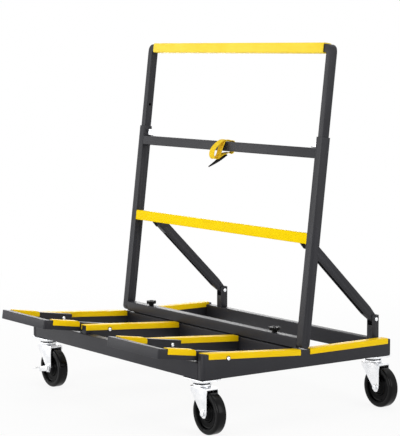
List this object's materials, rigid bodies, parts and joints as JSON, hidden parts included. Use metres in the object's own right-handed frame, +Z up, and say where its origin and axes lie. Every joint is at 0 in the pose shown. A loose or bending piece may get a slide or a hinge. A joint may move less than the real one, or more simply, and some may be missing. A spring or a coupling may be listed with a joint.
{
  "type": "sheet goods cart",
  "caption": "Folding rolling cart with a sloping deck of padded rails, fold-out front flaps and a leaning back frame with a telescoping push handle, for moving and storing sheet goods.",
  "frame": {"origin": "middle of the footprint, on the floor that the casters stand on", "axes": "+Z up, front with the fold-out flaps towards -Y, +X to the right seen from the front"},
  "size_m": [1.001, 0.8418, 1.1021],
  "materials": {
    "dark_powder_coat": "charcoal powder coat with a fine satin texture on welded steel tube",
    "yellow_powder_coat": "bright yellow powder coat on steel tube",
    "yellow_plastic": "extruded soft yellow vinyl, satin",
    "zinc_plated_steel": "bright zinc plate on pressed steel",
    "black_plastic": "moulded black plastic, fine grain",
    "wheel_rubber": "solid black rubber tyre on a moulded black wheel",
    "yellow_webbing": "woven yellow hook-and-loop band",
    "black_webbing": "napped black hook-and-loop band"
  },
  "bodies": {
    "base": {"side_rail_left": "dark_powder_coat", "deck_bar_left": "dark_powder_coat", "front_cap_left": "yellow_plastic", "deck_bar_cap_left": "yellow_plastic", "rear_cap_left": "yellow_plastic", "rear_post_left": "dark_powder_coat", "brace_pivot_bolt_left": "zinc_plated_steel", "flap_bolt_left_inner": "zinc_plated_steel", "flap_bolt_left_outer": "zinc_plated_steel", "side_rail_right": "dark_powder_coat", "deck_bar_right": "dark_powder_coat", "front_cap_right": "yellow_plastic", "deck_bar_cap_right": "yellow_plastic", "rear_cap_right": "yellow_plastic", "rear_post_right": "dark_powder_coat", "brace_pivot_bolt_right": "zinc_plated_steel", "flap_bolt_right_inner": "zinc_plated_steel", "flap_bolt_right_outer": "zinc_plated_steel", "front_beam": "dark_powder_coat", "mid_beam": "dark_powder_coat", "rear_beam": "dark_powder_coat", "caster_plate_front_left": "zinc_plated_steel", "caster_plate_front_right": "zinc_plated_steel", "caster_plate_rear_left": "zinc_plated_steel", "caster_plate_rear_right": "zinc_plated_steel"},
    "foot": {"foot_bar": "dark_powder_coat"},
    "back_frame": {"upright_left": "dark_powder_coat", "upright_right": "dark_powder_coat", "mid_rail": "yellow_powder_coat", "upper_crossbar": "dark_powder_coat", "strap_band": "yellow_webbing", "strap_tail": "black_webbing"},
    "handle": {"handle_tube": "dark_powder_coat", "handle_grip": "yellow_plastic"},
    "knob_left": {"clamp_knob_left": "black_plastic"},
    "pin_left": {"snap_pin_left": "zinc_plated_steel"},
    "brace_left": {"brace_left": "dark_powder_coat"},
    "flap_left": {"flap_frame_left": "dark_powder_coat", "flap_cap_left_inner": "yellow_plastic", "flap_cap_left_outer": "yellow_plastic"},
    "knob_right": {"clamp_knob_right": "black_plastic"},
    "pin_right": {"snap_pin_right": "zinc_plated_steel"},
    "brace_right": {"brace_right": "dark_powder_coat"},
    "flap_right": {"flap_frame_right": "dark_powder_coat", "flap_cap_right_inner": "yellow_plastic", "flap_cap_right_outer": "yellow_plastic"},
    "swivel_front_left": {"caster_fork_front_left": "zinc_plated_steel", "caster_axle_front_left": "zinc_plated_steel"},
    "wheel_front_left": {"caster_wheel_front_left": "wheel_rubber"},
    "pedal_front_left": {"brake_pedal_front_left": "zinc_plated_steel"},
    "swivel_front_right": {"caster_fork_front_right": "zinc_plated_steel", "caster_axle_front_right": "zinc_plated_steel"},
    "wheel_front_right": {"caster_wheel_front_right": "wheel_rubber"},
    "swivel_rear_left": {"caster_fork_rear_left": "zinc_plated_steel", "caster_axle_rear_left": "zinc_plated_steel"},
    "wheel_rear_left": {"caster_wheel_rear_left": "wheel_rubber"},
    "pedal_rear_left": {"brake_pedal_rear_left": "zinc_plated_steel"},
    "swivel_rear_right": {"caster_fork_rear_right": "zinc_plated_steel", "caster_axle_rear_right": "zinc_plated_steel"},
    "wheel_rear_right": {"caster_wheel_rear_right": "wheel_rubber"}
  },
  "joints": [
    {"name": "foot_slide", "type": "slide", "parent": "base", "child": "foot", "axis": [0, 1, 0], "range_m": [0, 0.2556]},
    {"name": "frame_fold", "type": "hinge", "parent": "foot", "child": "back_frame", "pos_m": [-0.023, 0.07921, 0.2261], "axis": [1, 0, 0], "range_deg": [0, 93.5]},
    {"name": "brace_left_fold", "type": "hinge", "parent": "base", "child": "brace_left", "pos_m": [-0.393, 0.39991, 0.2623], "axis": [1, 0, 0], "range_deg": [0, 41.25]},
    {"name": "brace_right_fold", "type": "hinge", "parent": "base", "child": "brace_right", "pos_m": [0.382, 0.39991, 0.2623], "axis": [1, 0, 0], "range_deg": [0, 41.25]},
    {"name": "handle_slide", "type": "slide", "parent": "back_frame", "child": "handle", "axis": [0, 0.1184, 0.993], "range_m": [-0.24, 0]},
    {"name": "snap_pin_left_pull", "type": "slide", "parent": "back_frame", "child": "pin_left", "axis": [1, 0, 0], "range_m": [0, 0.008], "stiffness_N_per_m": 400},
    {"name": "snap_pin_right_pull", "type": "slide", "parent": "back_frame", "child": "pin_right", "axis": [-1, 0, 0], "range_m": [0, 0.008], "stiffness_N_per_m": 400},
    {"name": "knob_left_turn", "type": "hinge", "parent": "foot", "child": "knob_left", "pos_m": [-0.351, 0.07921, 0.226], "axis": [0, 0, 1], "continuous": true},
    {"name": "knob_right_turn", "type": "hinge", "parent": "foot", "child": "knob_right", "pos_m": [0.305, 0.07921, 0.226], "axis": [0, 0, 1], "continuous": true},
    {"name": "flap_left_fold", "type": "hinge", "parent": "base", "child": "flap_left", "pos_m": [-0.3321, -0.20209, 0.21343], "axis": [-1, 0, 0], "range_deg": [0, 180]},
    {"name": "flap_right_fold", "type": "hinge", "parent": "base", "child": "flap_right", "pos_m": [0.2861, -0.20209, 0.21343], "axis": [-1, 0, 0], "range_deg": [0, 180]},
    {"name": "caster_front_left_swivel", "type": "hinge", "parent": "base", "child": "swivel_front_left", "pos_m": [-0.448, -0.25809, 0.1315], "axis": [0, 0, 1], "continuous": true},
    {"name": "caster_front_left_roll", "type": "hinge", "parent": "swivel_front_left", "child": "wheel_front_left", "pos_m": [-0.412, -0.25809, 0.0625], "axis": [0, 1, 0], "continuous": true},
    {"name": "brake_front_left_press", "type": "hinge", "parent": "swivel_front_left", "child": "pedal_front_left", "pos_m": [-0.412, -0.25809, 0.0625], "axis": [0, 1, 0], "range_deg": [-18, 0]},
    {"name": "caster_front_right_swivel", "type": "hinge", "parent": "base", "child": "swivel_front_right", "pos_m": [0.402, -0.25809, 0.1315], "axis": [0, 0, 1], "continuous": true},
    {"name": "caster_front_right_roll", "type": "hinge", "parent": "swivel_front_right", "child": "wheel_front_right", "pos_m": [0.438, -0.25809, 0.0625], "axis": [0, 1, 0], "continuous": true},
    {"name": "caster_rear_left_swivel", "type": "hinge", "parent": "base", "child": "swivel_rear_left", "pos_m": [-0.448, 0.38591, 0.1315], "axis": [0, 0, 1], "continuous": true},
    {"name": "caster_rear_left_roll", "type": "hinge", "parent": "swivel_rear_left", "child": "wheel_rear_left", "pos_m": [-0.412, 0.38591, 0.0625], "axis": [0, 1, 0], "continuous": true},
    {"name": "brake_rear_left_press", "type": "hinge", "parent": "swivel_rear_left", "child": "pedal_rear_left", "pos_m": [-0.412, 0.38591, 0.0625], "axis": [0, 1, 0], "range_deg": [-18, 0]},
    {"name": "caster_rear_right_swivel", "type": "hinge", "parent": "base", "child": "swivel_rear_right", "pos_m": [0.402, 0.38591, 0.1315], "axis": [0, 0, 1], "continuous": true},
    {"name": "caster_rear_right_roll", "type": "hinge", "parent": "swivel_rear_right", "child": "wheel_rear_right", "pos_m": [0.438, 0.38591, 0.0625], "axis": [0, 1, 0], "continuous": true}
  ],
  "couplings": [
    {"joint": "foot_slide", "follows": "frame_fold", "m_per_rad": 0.15659},
    {"joint": "brace_left_fold", "follows": "frame_fold", "ratio": 0.44103},
    {"joint": "brace_right_fold", "follows": "frame_fold", "ratio": 0.44103}
  ]
}
